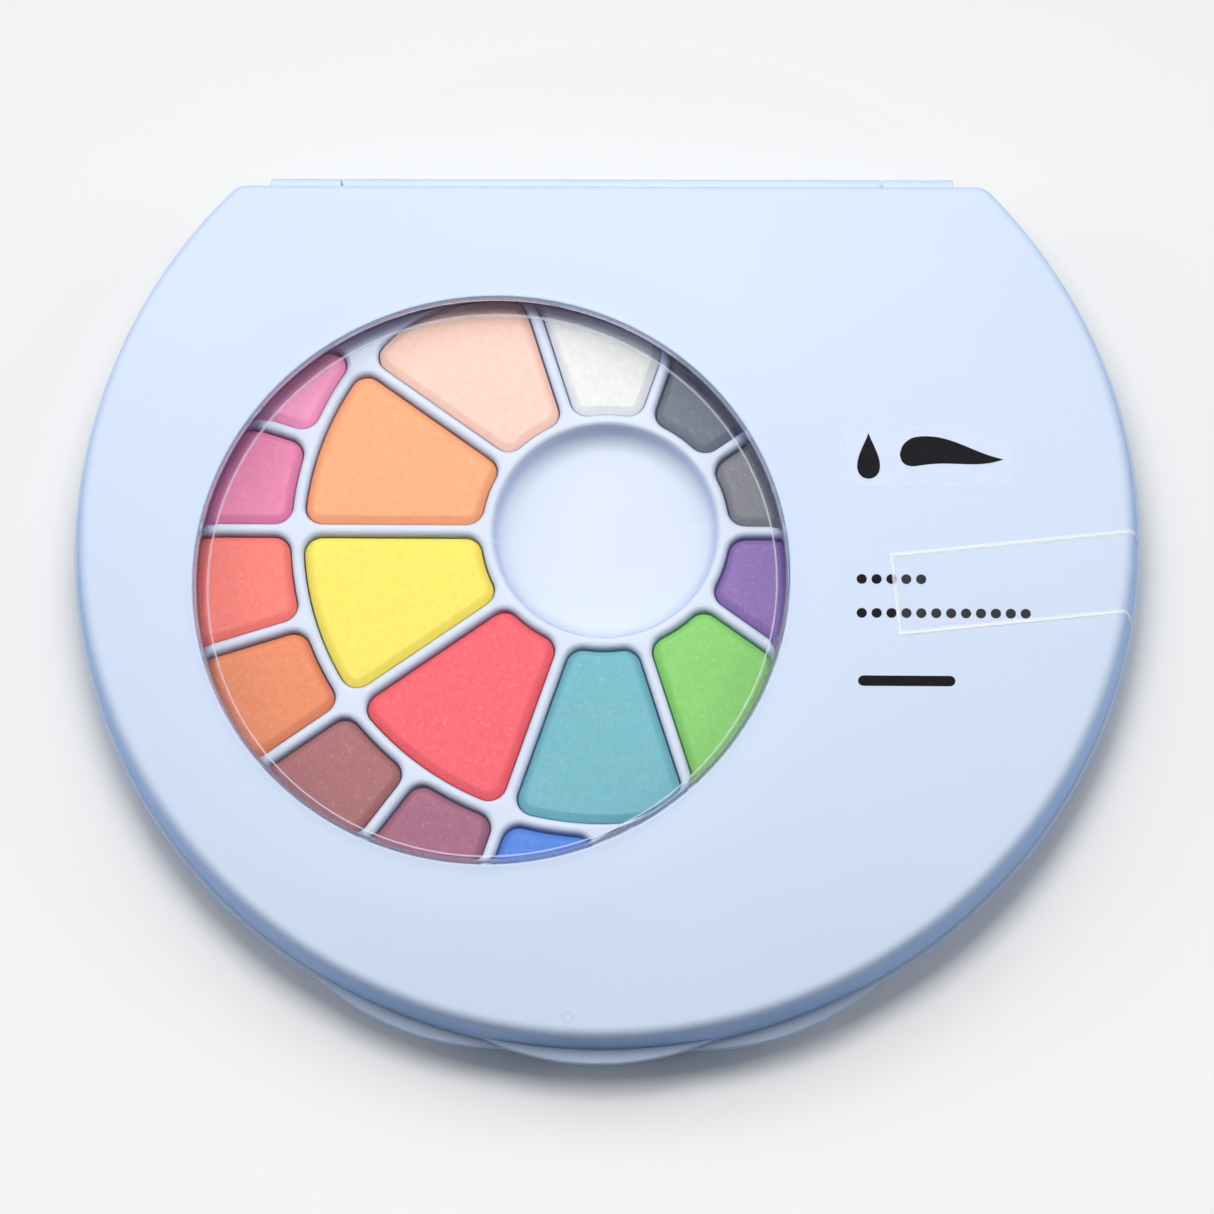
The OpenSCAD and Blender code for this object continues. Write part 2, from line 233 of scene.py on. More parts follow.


# Clear moulded styrene: polished on both faces. Its steep wall bends what is behind it, and the
# band of the wall is given a bluish painted shade, for the lid's shadow on the pans under it; the
# crease at its foot and its rim get pale painted highlights. Light that falls on the pans goes
# straight through
def clearStyrene(name, look):
    material, tree = newMaterial(name)
    place = addNode(tree, "ShaderNodeTexCoord").outputs["Object"]
    flat = addNode(tree, "ShaderNodeVectorMath", {0: place, 1: (1, 1, 0)}, operation="MULTIPLY")
    middle = (windowAt[0] * mm, windowAt[1] * mm, 0)
    radius = addNode(tree, "ShaderNodeVectorMath", {0: flat.outputs[0], 1: middle},
                     operation="DISTANCE").outputs["Value"]
    height = addNode(tree, "ShaderNodeSeparateXYZ", {0: place}).outputs["Z"]
    aside = addNode(tree, "ShaderNodeMath", {0: radius, 1: look["crease"] * mm},
                    operation="SUBTRACT")
    away = addNode(tree, "ShaderNodeMath", {0: aside.outputs[0]}, operation="ABSOLUTE")
    foot = addNode(tree, "ShaderNodeMapRange", {"Value": away.outputs[0],
                                                "From Min": look["lineFrom"][0] * mm,
                                                "From Max": look["lineFrom"][1] * mm,
                                                "To Min": look["line"],
                                                "To Max": 0.0})
    rim = addNode(tree, "ShaderNodeMapRange", {
        "Value": height, "From Min": look["rimFrom"][0] * mm, "From Max": look["rimFrom"][1] * mm,
        "To Max": look["rim"]})
    pale = addNode(tree, "ShaderNodeMath", {0: foot.outputs["Result"], 1: rim.outputs["Result"]},
                   operation="MAXIMUM")
    # painted shade: past the crease the glass takes the darker bluish wall colour
    wallMask = addNode(tree, "ShaderNodeMapRange", {
        "Value": radius, "From Min": look["wallFrom"][0] * mm,
        "From Max": look["wallFrom"][1] * mm})
    tint = addNode(tree, "ShaderNodeMix", {"Factor": wallMask.outputs["Result"],
                                           "A": linear(look["tint"]), "B": linear(look["wall"])},
                   data_type="RGBA")
    # faint flow ripples, 14 mm apart
    ripple = addNode(tree, "ShaderNodeTexNoise", {"Vector": place, "Scale": 70.0, "Detail": 1.0})
    bump = addNode(tree, "ShaderNodeBump", {"Height": ripple.outputs["Fac"], "Strength": 0.1,
                                            "Distance": 0.1 * mm})
    glass = addNode(tree, "ShaderNodeBsdfPrincipled", {
        "Base Color": tint.outputs["Result"], "Roughness": look["rough"], "IOR": look["ior"],
        "Transmission Weight": 1.0, "Normal": bump.outputs["Normal"]})
    # painted highlight: a pale matte surface mixed in along the foot crease and the top rim, as
    # glints
    paleGlint = addNode(tree, "ShaderNodeBsdfPrincipled", {"Base Color": linear(look["paleGlint"]),
                                                         "Roughness": 0.35})
    edged = addNode(tree, "ShaderNodeMixShader", {0: pale.outputs[0], 1: glass.outputs["BSDF"],
                                                  2: paleGlint.outputs["BSDF"]})
    clear = addNode(tree, "ShaderNodeBsdfTransparent", {"Color": linear(look["shadow"])})
    ray = addNode(tree, "ShaderNodeLightPath").outputs
    light = addNode(tree, "ShaderNodeMath", {0: ray["Is Shadow Ray"], 1: ray["Is Diffuse Ray"]},
                    operation="MAXIMUM")
    mix = addNode(tree, "ShaderNodeMixShader", {0: light.outputs[0], 1: edged.outputs[0],
                                                2: clear.outputs[0]})
    addNode(tree, "ShaderNodeOutputMaterial", {"Surface": mix.outputs[0]})
    return material


# the wall colour is a painted shade; the pale colour, line and rim set the painted highlights
windowStyrene = clearStyrene("windowStyrene", {
    "ior": 1.49, "tint": "#fcfdff", "wall": "#d4d2f5", "paleGlint": "#d5d9e8", "shadow": "#fefefe",
    "rough": 0.0, "crease": 53.2, "line": 0.34, "lineFrom": (0.1, 0.24), "rim": 0.26,
    "rimFrom": (19.1, 19.4), "wallFrom": (53.8, 54.1)})
print("plastics made")


# ---- lid ----

lidLook = {"topRound": 2.0, "corner": 4.0, "holeR": 55.6, "coneR": 66.0, "coneDepth": 0.4,
           "ceiling": 18.4, "tabArc": 49.0, "tabTip": 102.0, "tabThick": 1.3, "leanR": 1.03,
           "leanY": 1.6}


# R, Y and corner of the lid's skin at each height, g inside the outer face
def lidRing(h, g, inset=0.0):
    lean = (h - lidZ) / (topZ - lidLook["topRound"] - lidZ)
    r = lidR - lidLook["leanR"] * lean - g - inset
    y = backY - lidLook["leanY"] * lean - g - inset
    return r, y, max(lidLook["corner"] - g - inset, 0.6)


def makeLid():
    bm = bmesh.new()
    rings = []
    shoulder = topZ - lidLook["topRound"]
    # outside, from the lower edge up
    rings.append(flatBackRing(*lidRing(lidZ, 0.25), lidZ))
    rings.append(flatBackRing(*lidRing(lidZ + 0.08, 0.07), lidZ + 0.08))
    rings.append(flatBackRing(*lidRing(lidZ + 0.25, 0.0), lidZ + 0.25))
    for i in range(1, 5):
        h = lidZ + 0.25 + (shoulder - lidZ - 0.25) * i / 4
        rings.append(flatBackRing(*lidRing(h, 0.0), h))
    r, y, f = lidRing(shoulder, 0.0)
    for i in range(1, 9):
        a = math.radians(90 * i / 8)
        g, h = lidLook["topRound"] * (1 - math.cos(a)), shoulder + lidLook["topRound"] * math.sin(a)
        rings.append(flatBackRing(r - g, y - g, f - g, h))
    rings.append(flatBackRing(r - 2.5, y - 2.5, f - 2.3, topZ))
    edge = flatBackRing(r - 4, y - 4, f - 2.5, topZ)
    rings.append(edge)
    # across the flat top to the window's cone; a ring keeps the directions of the edge's points
    turns = [math.atan2(p[1] - windowAt[1], p[0] - windowAt[0]) for p in edge]

    def windowRing(radius, z):
        return [(windowAt[0] + radius * math.cos(t), windowAt[1] + radius * math.sin(t), z)
                for t in turns]

    hole, cone, depth = lidLook["holeR"], lidLook["coneR"], lidLook["coneDepth"]
    for k in range(1, 5):  # widening steps, so that no long thin face shades oddly
        ring = windowRing(cone, topZ)
        rings.append([tuple(Vector(e).lerp(Vector(w), k / 5)) for e, w in zip(edge, ring)])
    for t in (0, 0.12, 0.25, 0.4, 0.55, 0.7, 0.85, 1.0):
        rings.append(windowRing(cone + (hole + 0.7 - cone) * t, topZ - depth * t * t * (3 - 2 * t)))
    rings.append(windowRing(hole + 0.45, topZ - depth + 0.05))  # the bead round the hole
    rings.append(windowRing(hole + 0.2, topZ - depth + 0.03))
    rings.append(windowRing(hole + 0.04, topZ - depth - 0.1))
    rings.append(windowRing(hole, topZ - depth - 0.3))
    # under the lid: hole edge, the ring round the window's flange, ceiling
    ceiling = lidLook["ceiling"]
    for radius, z in ((hole, ceiling), (hole + 5.2, ceiling), (hole + 5.3, ceiling - 0.9),
                      (hole + 5.5, ceiling - 1), (hole + 6.1, ceiling - 1),
                      (hole + 6.3, ceiling - 0.8), (hole + 6.4, ceiling)):
        rings.append(windowRing(radius, z))
    r, y, f = lidRing(ceiling - 1, 0.0, wall)
    inner = flatBackRing(r - 1.6, y - 1.6, 0.8, ceiling)
    for k in range(1, 4):
        ring = windowRing(hole + 6.4, ceiling)
        rings.append([tuple(Vector(w).lerp(Vector(e), k / 4)) for e, w in zip(inner, ring)])
    rings.append(inner)
    for i in range(0, 6):
        a = math.radians(90 - 90 * i / 5)
        g = 1 - math.cos(a)
        rings.append(flatBackRing(r - g, y - g, max(f - g, 1.2), ceiling - 1 + math.sin(a)))
    for i in range(1, 4):
        h = ceiling - 1 + (lidZ + 0.15 - ceiling + 1) * i / 3
        rings.append(flatBackRing(*lidRing(h, 0.0, wall), h))
    rings.append(flatBackRing(*lidRing(lidZ, -0.15, wall), lidZ))
    loft(bm, rings, closed=True)
    return makeObject("lidMoulding", bm, caseAbs, sharp=40)


# A round rod along the hinge, with softened ends and a bore at each open end
def hingeRod(bm, x0, x1, radius, bore=0.0, depth=0.0, steps=48):
    soft = 0.25
    profile = [(x0 + soft * (1 - math.sin(a)), radius - soft * (1 - math.cos(a)))
               for a in [math.radians(90 - 22.5 * i) for i in range(5)]]
    profile += [(x1 - soft * (1 - math.sin(a)), radius - soft * (1 - math.cos(a)))
                for a in [math.radians(22.5 * i) for i in range(5)]]
    if bore:
        profile = [(x0 + depth, bore), (x0, bore)] + profile + [(x1, bore), (x1 - depth, bore)]
    rings = [[(x, hingeY + r * math.cos(2 * math.pi * k / steps),
               hingeZ + r * math.sin(2 * math.pi * k / steps)) for k in range(steps)]
             for x, r in profile]
    loft(bm, rings, capStart=True, capEnd=True)


def rodObject(name, x0, x1, radius, **more):
    bm = bmesh.new()
    hingeRod(bm, x0, x1, radius, **more)
    return makeObject(name, bm, caseAbs)


# A tab is the part of a smaller circle that stands out past the shell, with soft edges
def makeTab(name, turn, innerR, z0, z1):
    arc, centre = lidLook["tabArc"], lidLook["tabTip"] - lidLook["tabArc"]
    half = math.acos((innerR ** 2 - arc ** 2 - centre ** 2) / (2 * arc * centre))

    def ring(g, z):
        reach = arc - g
        points = [(centre + reach * math.cos(a), reach * math.sin(a))
                  for a in [half * (-1 + i / 20) for i in range(41)]]
        tip = math.atan2(points[-1][1], points[-1][0])
        points += [(innerR * math.cos(a), innerR * math.sin(a))
                   for a in [tip * (1 - i / 12) for i in range(1, 24)]]
        c, s = math.cos(turn), math.sin(turn)
        return [(x * c - y * s, x * s + y * c, z) for x, y in points]

    soft = 0.35
    edge = [(soft * (1 - math.sin(a)), soft * (1 - math.cos(a)))
            for a in [math.radians(30 * i) for i in range(4)]]
    rings = [ring(g, z0 + h) for g, h in edge] + [ring(g, z1 - h) for g, h in edge[::-1]]
    bm = bmesh.new()
    loft(bm, rings, capStart=True, capEnd=True)
    return makeObject(name, bm, caseAbs)


knuckle = {"radius": 1.9, "room": 2.2, "midHalf": 51.7, "end": 65.6, "gap": 0.3,
           "lidBore": 0.82, "lidDepth": 13.0, "endBore": 0.755, "endDepth": 1.0}
lid = makeLid()
cutAway(lid, [rodObject("cutter", side[0], side[1], knuckle["room"]) for side in
              ((knuckle["midHalf"], knuckle["end"] + knuckle["gap"]),
               (-knuckle["end"] - knuckle["gap"], -knuckle["midHalf"]))], sharp=40)
lidKnuckle = rodObject("lidKnuckle", -knuckle["midHalf"], knuckle["midHalf"], knuckle["radius"],
                       bore=knuckle["lidBore"], depth=knuckle["lidDepth"])
lidTab = makeTab("lidTab", math.radians(270), lidR - 1, lidZ + 0.02, lidZ + lidLook["tabThick"])
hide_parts("lid_shell")
for piece in (lid, lidKnuckle, lidTab):
    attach(piece, "lid")
print("lid made")


# ---- base ----

baseLook = {"footRound": 3.5, "lean": 1.8, "rimHeight": 1.5, "rimBack": 0.25, "lipHeight": 1.2}


def makeBase():
    bm = bmesh.new()
    wallR, footR = baseR - 1.2, baseLook["footRound"]
    rimBottom, corner = rimZ - baseLook["rimHeight"], lidLook["corner"]

    def skin(h, g, inset=0.0):
        lean = baseLook["lean"] * (hingeZ - h) / (hingeZ - footR)
        return wallR - lean - g - inset, backY - lean - g - inset, max(corner - g - inset, 0.5)

    rings = []
    r, y, f = skin(footR, 0.0)
    rings.append(flatBackRing(r - 8, y - 8, 0.6, 0.0))
    rings.append(flatBackRing(r - 4.2, y - 4.2, 0.5, 0.0))
    for i in range(0, 8):
        a = math.radians(90 - 90 * i / 7)
        g = footR * (1 - math.cos(a))
        rings.append(flatBackRing(r - g, y - g, max(f - g, 0.5), footR * (1 - math.sin(a))))
    for i in range(1, 5):
        h = footR + (rimBottom - footR) * i / 4
        rings.append(flatBackRing(*skin(h, 0.0), h))
    rimY = backY + baseLook["rimBack"]
    for g, h in ((0.2, rimBottom), (0.06, rimBottom + 0.06), (0.0, rimBottom + 0.2),
                 (0.0, rimZ - 0.25), (0.07, rimZ - 0.07), (0.25, rimZ)):
        rings.append(flatBackRing(baseR - g, rimY - g, corner - g, h))
    lipR, lipY, lipTop = lidR - wall - 0.55, backY - wall - 0.65, rimZ + baseLook["lipHeight"]
    for g, h in ((0.0, rimZ), (0.0, lipTop - 0.3), (0.1, lipTop - 0.08), (0.3, lipTop),
                 (0.9, lipTop), (1.12, lipTop - 0.08), (1.2, lipTop - 0.3), (1.2, 8.0)):
        rings.append(flatBackRing(lipR - g, lipY - g, max(1.85 - g, 0.7), h))
    # inside, round the corner and in over the floor
    for r, h in ((95.3, 3.0), (94.6, 2.0), (93.0, 1.6), (70.0, 1.6)):
        rings.append(flatBackRing(r, r - 30.2, 0.7, h))
    loft(bm, rings, capStart=True, capEnd=True)
    return makeObject("baseMoulding", bm, caseAbs, sharp=40)


base = makeBase()
cutAway(base, [rodObject("cutter", -knuckle["midHalf"] - knuckle["gap"],
                         knuckle["midHalf"] + knuckle["gap"], knuckle["room"])], sharp=40)
endKnuckles = []
for side, name in ((-1, "baseKnuckleLeft"), (1, "baseKnuckleRight")):
    x0, x1 = sorted((side * (knuckle["midHalf"] + knuckle["gap"]), side * knuckle["end"]))
    endKnuckles.append(rodObject(name, x0, x1, knuckle["radius"], bore=knuckle["endBore"],
                                 depth=knuckle["endDepth"]))
baseTabs = [makeTab(name, math.radians(turn), baseR - 2.2, rimZ - lidLook["tabThick"], rimZ - 0.02)
            for name, turn in (("baseTabLeft", 249.8), ("baseTabRight", 290.2))]
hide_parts("base_shell")
for piece in [base] + endKnuckles + baseTabs:
    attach(piece, "base")
print("base made")


# ---- tray of pans ----

trayLook = {"crown": trayHigh.z, "floor": 7.8, "halfRib": 1.35, "gap": 0.25, "corner": 3.2,
            "ring1": (23.5, 56.65), "ring2": (59.35, 89.0), "ribRound": 1.05, "wellR": 21.0,
            "wellDepth": 4.6, "edgeRound": 0.8}
innerStep, outerStep, outerStart = math.radians(36), math.radians(18), math.radians(144)
innerNames = ["grey", "charcoal", "white", "peach", "orange", "yellow", "red", "teal", "green",
              "purple"]
outerNames = ["pink", "rose", "coral", "terracotta", "brown", "plum", "blue", "navy", "sky",
              "emerald", "olive", "lime", "ochre", "lilac"]
pans = [(name, k * innerStep, (k + 1) * innerStep, trayLook["ring1"])
        for k, name in enumerate(innerNames)]
pans += [(name, outerStart + k * outerStep, outerStart + (k + 1) * outerStep, trayLook["ring2"])
         for k, name in enumerate(outerNames)]


def makeTray():
    bm = bmesh.new()
    crown, gap = trayLook["crown"], trayLook["gap"]
    trayR, trayY = trayHigh.x, trayHigh.y
    rims = []

    # outer edge, side and underside
    soft = trayLook["edgeRound"]
    rings = [flatBackRing(trayR - soft * (1 - math.sin(a)), trayY - soft * (1 - math.sin(a)), 2.5,
                          crown - soft * (1 - math.cos(a))) for a in
             [math.radians(90 * i / 4) for i in range(5)]]
    rings.append(flatBackRing(trayR, trayY, 2.5, trayLow.z))
    rims.append(loft(bm, rings, capEnd=True)[0])
    # pans: a rounded rib crown, the wall, a soft corner and the floor
    ribR = trayLook["ribRound"]
    for name, a0, a1, (r0, r1) in pans:
        steps = [(-gap - ribR * (1 - math.cos(a)), crown - ribR * (1 - math.sin(a))) for a in
                 [math.radians(90 - 15 * i) for i in range(7)]]
        steps += [(-gap, 9.0), (-gap + 0.3, 8.1), (0.6, trayLook["floor"])]
        rings = [sectorRing(a0, a1, r0, r1, trayLook["halfRib"], trayLook["corner"], g, z)
                 for g, z in steps]
        rims.append(loft(bm, rings, capEnd=True)[0])
    # mixing well
    wellR, floorZ = trayLook["wellR"], crown - trayLook["wellDepth"]
    sweep = [(wellR + 1.0, crown), (wellR + 0.75, crown - 0.03), (wellR + 0.5, crown - 0.12),
             (wellR + 0.25, crown - 0.32), (wellR + 0.05, crown - 0.65), (wellR - 0.1, crown - 1.1)]
    bend = trayLook["wellDepth"] - 0.9
    sweep += [(wellR - 0.35 - bend * (1 - math.cos(a)), floorZ + bend * (1 - math.sin(a)) * 0.9)
              for a in [math.radians(9 * i) for i in range(1, 11)]]
    sweep += [(8.0, floorZ)]
    rims.append(loft(bm, [circleRing((0, 0), r, z, 192) for r, z in sweep], capEnd=True)[0])
    # the flat between them
    edges = []
    for rim in rims:
        edges += [bm.edges.get((rim[i], rim[(i + 1) % len(rim)])) for i in range(len(rim))]
    bmesh.ops.triangle_fill(bm, use_beauty=True, use_dissolve=False, edges=edges, normal=(0, 0, 1))
    return makeObject("panTray", bm, trayStyrene, sharp=45)


tray = makeTray()
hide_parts("pan_tray")
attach(tray, "base")
print("tray made")


# ---- paints ----

cakeLook = {"bottom": 7.95, "top": trayLook["crown"] - 0.7, "bevel": 1.7, "drop": 0.75,
            "uneven": 0.12}


# Pressed watercolour: pigment and gum dried in the pan. It is dull and chalky, with pale flecks of
# filler and a fine mottle; the slope round the edge gets a painted shade, darker and more saturated
def pressedPaint(name, hexCode, seed):
    material, tree = newMaterial(name)
    place = addNode(tree, "ShaderNodeTexCoord").outputs["Object"]
    mottle = addNode(tree, "ShaderNodeTexNoise", {"Vector": place, "W": seed * 3.7, "Scale": 700.0,
                                                  "Detail": 4.0, "Roughness": 0.8},
                     noise_dimensions="4D")  # grains 1.4 mm apart with finer ones in them
    colour = linear(hexCode)
    dark, pale = [c * 0.92 for c in colour[:3]] + [1], [min(c * 1.07, 1) for c in colour[:3]] + [1]
    cloud = addNode(tree, "ShaderNodeMapRange", {"Value": mottle.outputs["Fac"], "From Min": 0.3,
                                                 "From Max": 0.7})
    body = addNode(tree, "ShaderNodeMix", {"Factor": cloud.outputs["Result"], "A": dark, "B": pale},
                   data_type="RGBA")
    grit = addNode(tree, "ShaderNodeTexNoise", {"Vector": place, "W": seed * 1.3, "Scale": 2000.0,
                                                "Detail": 2.0, "Roughness": 0.7},
                   noise_dimensions="4D")  # flecks 0.5 mm apart
    speck = addNode(tree, "ShaderNodeMapRange", {"Value": grit.outputs["Fac"], "From Min": 0.56,
                                                 "From Max": 0.7, "To Min": 0.0, "To Max": 0.36})
    chalk = [c * 0.55 + 0.4 for c in colour[:3]] + [1]
    dusty = addNode(tree, "ShaderNodeMix", {"Factor": speck.outputs["Result"],
                                            "A": body.outputs["Result"], "B": chalk},
                    data_type="RGBA")
    height = addNode(tree, "ShaderNodeSeparateXYZ", {0: place}).outputs["Z"]
    top = cakeLook["top"]
    # painted shade: the bevel under the flat top is mixed towards a darker, more saturated colour
    edge = addNode(tree, "ShaderNodeMapRange", {
        "Value": height, "From Min": (top - 0.5) * mm, "From Max": (top - 0.06) * mm,
        "To Min": 0.5, "To Max": 0.0})
    bevelShade = [0.9 * c ** 1.25 for c in colour[:3]] + [1]
    shaded = addNode(tree, "ShaderNodeMix", {"Factor": edge.outputs["Result"],
                                             "A": dusty.outputs["Result"], "B": bevelShade},
                     data_type="RGBA")
    bump = addNode(tree, "ShaderNodeBump", {"Height": grit.outputs["Fac"], "Strength": 0.5,
                                            "Distance": 0.08 * mm})
    skin = addNode(tree, "ShaderNodeBsdfPrincipled", {
        "Base Color": shaded.outputs["Result"], "Roughness": 0.78, "Normal": bump.outputs["Normal"],
        "IOR": 1.45})
    addNode(tree, "ShaderNodeOutputMaterial", {"Surface": skin.outputs["BSDF"]})
    return material


paintHex = {"grey": "#86858a", "charcoal": "#737984", "white": "#e9e8e5", "peach": "#fbcebc",
            "orange": "#fcaa78", "yellow": "#fde560", "red": "#f8626a", "teal": "#74b7c1",
            "green": "#8bd06c", "purple": "#8f6fb0", "pink": "#ff9dc2", "rose": "#e884aa",
            "coral": "#fc7f72", "terracotta": "#ec8d60", "brown": "#ab6c6c", "plum": "#a6687d",
            "blue": "#5286d8", "navy": "#39508f", "sky": "#7fb7e6", "emerald": "#2f8f72",
            "olive": "#8a8f4a", "lime": "#b9d65a", "ochre": "#d5a24a", "lilac": "#b79ad6"}


def makeBlank(name, step, radii):  # one cake between turns 0 and step
    top, drop, wide = cakeLook["top"], cakeLook["drop"], cakeLook["bevel"]
    steps = [(0.35, cakeLook["bottom"]), (0.05, cakeLook["bottom"] + 0.3), (0.0, 9.5),
             (0.0, top - drop - 0.3), (0.06, top - drop - 0.12), (0.2, top - drop),
             (0.4, top - drop + 0.1), (wide - 0.25, top - 0.16), (wide - 0.08, top - 0.07),
             (wide + 0.08, top - 0.015), (wide + 0.3, top), (wide + 1.3, top), (wide + 2.6, top)]
    bm = bmesh.new()
    rings = [sectorRing(0, step, *radii, trayLook["halfRib"], trayLook["corner"], g, z)
             for g, z in steps]
    loft(bm, rings, capStart=True, capEnd=True)
    bmesh.ops.recalc_face_normals(bm, faces=bm.faces)
    lids = [f for f in bm.faces if len(f.verts) > 8 and f.normal.z > 0.5]
    bmesh.ops.triangulate(bm, faces=lids)
    return makeObject(name, bm, None, sharp=60)


# Turns a blank to its place and leaves the press's slight unevenness on its top
def cakeTree():
    tree = bpy.data.node_groups.new("pressCake", "GeometryNodeTree")
    for name, kind in (("Blank", "NodeSocketGeometry"), ("Turn", "NodeSocketFloat"),
                       ("Seed", "NodeSocketInt"), ("Uneven", "NodeSocketFloat"),
                       ("Flat Above", "NodeSocketFloat"), ("Paint", "NodeSocketMaterial")):
        tree.interface.new_socket(name, in_out="INPUT", socket_type=kind)
    tree.interface.new_socket("Cake", in_out="OUTPUT", socket_type="NodeSocketGeometry")
    given = addNode(tree, "NodeGroupInput").outputs
    place = addNode(tree, "GeometryNodeInputPosition").outputs[0]
    height = addNode(tree, "ShaderNodeSeparateXYZ", {0: place}).outputs["Z"]
    onTop = addNode(tree, "FunctionNodeCompare", {"A": height, "B": given["Flat Above"]},
                    operation="GREATER_THAN", data_type="FLOAT")
    wave = addNode(tree, "ShaderNodeTexNoise", {"Vector": place, "W": given["Seed"],
                                                "Scale": 90.0, "Detail": 1.0},
                   noise_dimensions="4D")
    sunk = addNode(tree, "ShaderNodeMath", {0: wave.outputs["Fac"], 1: given["Uneven"]},
                   operation="MULTIPLY")
    down = addNode(tree, "ShaderNodeMath", {0: sunk.outputs[0], 1: -1.0}, operation="MULTIPLY")
    shift = addNode(tree, "ShaderNodeCombineXYZ", {"Z": down.outputs[0]})
    pressed = addNode(tree, "GeometryNodeSetPosition", {
        "Geometry": given["Blank"], "Selection": onTop.outputs[0], "Offset": shift.outputs[0]})
    spin = addNode(tree, "ShaderNodeCombineXYZ", {"Z": given["Turn"]})
    turned = addNode(tree, "GeometryNodeTransform", {"Geometry": pressed.outputs[0],
                                                     "Rotation": spin.outputs[0]})
    real = addNode(tree, "GeometryNodeRealizeInstances", {"Geometry": turned.outputs[0]})
    painted = addNode(tree, "GeometryNodeSetMaterial", {"Geometry": real.outputs[0],
                                                        "Material": given["Paint"]})
    addNode(tree, "NodeGroupOutput", {"Cake": painted.outputs[0]})
    return tree


def socketId(tree, name):
    return next(item.identifier for item in tree.interface.items_tree
                if item.name == name and item.in_out == "INPUT")


press = cakeTree()
blanks = {trayLook["ring1"]: makeBlank("blankInner", innerStep, trayLook["ring1"]),
          trayLook["ring2"]: makeBlank("blankOuter", outerStep, trayLook["ring2"])}
for seed, (name, a0, a1, radii) in enumerate(pans):
    cake = bpy.data.objects.new("cake" + name.capitalize(), blanks[radii].data.copy())
    bpy.context.scene.collection.objects.link(cake)
    mod = cake.modifiers.new("press", "NODES")
    mod.node_group = press
    mod[socketId(press, "Turn")] = a0
    mod[socketId(press, "Seed")] = seed
    mod[socketId(press, "Uneven")] = cakeLook["uneven"] * mm
    mod[socketId(press, "Flat Above")] = (cakeLook["top"] - 0.05) * mm
    mod[socketId(press, "Paint")] = pressedPaint("pressed" + name.capitalize(), paintHex[name],
                                                 seed)
    bakeModifiers(cake)
    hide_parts("paint_" + name)
    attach(cake, "base")
for blank in blanks.values():
    bpy.data.objects.remove(blank)
print("paints pressed")


# ---- window ----

windowLook = {"floorZ": 16.2, "thick": 1.1, "wallFoot": 53.9, "wallTop": 54.9, "outTop": 55.5,
              "flange": 60.6, "flangeZ": 18.37, "edgeZ": 19.5}


def makeWindow():
    w = windowLook
    under = w["floorZ"] - w["thick"]
    profile = [(12.0, w["floorZ"]), (46.0, w["floorZ"]), (w["wallFoot"] - 1.1, w["floorZ"])]
    profile += cornerArc(w["wallFoot"] - 0.85, w["floorZ"] + 0.85, 0.85, -90, -12, 8)
    profile += [(w["wallTop"] - 0.05, w["edgeZ"] - 0.2), (w["wallTop"] + 0.1, w["edgeZ"]),
                (w["outTop"] - 0.1, w["edgeZ"]), (w["outTop"], w["edgeZ"] - 0.15),
                (w["outTop"], w["flangeZ"]), (w["flange"] - 0.1, w["flangeZ"]),
                (w["flange"], w["flangeZ"] - 0.1), (w["flange"], w["flangeZ"] - w["thick"] + 0.1),
                (w["flange"] - 0.1, w["flangeZ"] - w["thick"]),
                (w["outTop"] + 0.2, w["flangeZ"] - w["thick"]),
                (w["outTop"] - 0.1, w["flangeZ"] - w["thick"] - 0.2)]
    profile += cornerArc(w["wallFoot"] - 0.15, under + 1.05, 1.05, -12, -90, 8)
    profile += [(46.0, under), (12.0, under)]
    bm = bmesh.new()
    loft(bm, [circleRing(windowAt, r, z, 320) for r, z in profile], capStart=True, capEnd=True)
    return makeObject("windowDish", bm, windowStyrene, sharp=50)


window = makeWindow()
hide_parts("window_panel")
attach(window, "lid")
print("window made")


# ---- print on the lid ----

# Pad-printed ink: thin, near black, a little glossier than the plastic round it
def padPrint(name, hexCode):
    material, tree = newMaterial(name)
    place = addNode(tree, "ShaderNodeTexCoord").outputs["Object"]
    # thin spots in the ink, 1 mm wide
    thin = addNode(tree, "ShaderNodeTexNoise", {"Vector": place, "Scale": 900.0, "Detail": 3.0})
    ink = addNode(tree, "ShaderNodeMix", {"Factor": thin.outputs["Fac"], "A": linear(hexCode),
                                          "B": linear("#1b1a20")}, data_type="RGBA")
    skin = addNode(tree, "ShaderNodeBsdfPrincipled", {"Base Color": ink.outputs["Result"],
                                                      "Roughness": 0.55, "IOR": 1.35})
    addNode(tree, "ShaderNodeOutputMaterial", {"Surface": skin.outputs["BSDF"]})
    return material


# Clear vinyl sticker: a thin veil, a little cloudy, that pales the plastic under it
def stickerVinyl(name, hexCode):
    material, tree = newMaterial(name)
    place = addNode(tree, "ShaderNodeTexCoord").outputs["Object"]
    # cloudy spots 2 mm wide
    cloud = addNode(tree, "ShaderNodeTexNoise", {"Vector": place, "Scale": 500.0})
    veil = addNode(tree, "ShaderNodeMapRange", {"Value": cloud.outputs["Fac"], "To Min": 0.16,
                                                "To Max": 0.26})
    skin = addNode(tree, "ShaderNodeBsdfPrincipled", {
        "Base Color": linear(hexCode), "Roughness": 0.3, "Alpha": veil.outputs["Result"]})
    addNode(tree, "ShaderNodeOutputMaterial", {"Surface": skin.outputs["BSDF"]})
    return material


inkBlack = padPrint("inkBlack", "#0e0d11")
printLook = {"thick": 0.03, "drop": (49.2, 13.0, 3.1, 4.6), "stroke": (55.0, 74.4, 13.2, 2.9),
             "bar": (47.2, 65.1, -31.0, 1.0), "sticker": (44.6, 76.2, 6.9, 19.1, 2.4),
             "stickerThick": 0.012, "dotR": 0.95, "dotPitch": 2.75, "dotX": 47.9,
             "rows": (("printDotsShort", 5, -11.3), ("printDotsLong", 12, -17.9))}


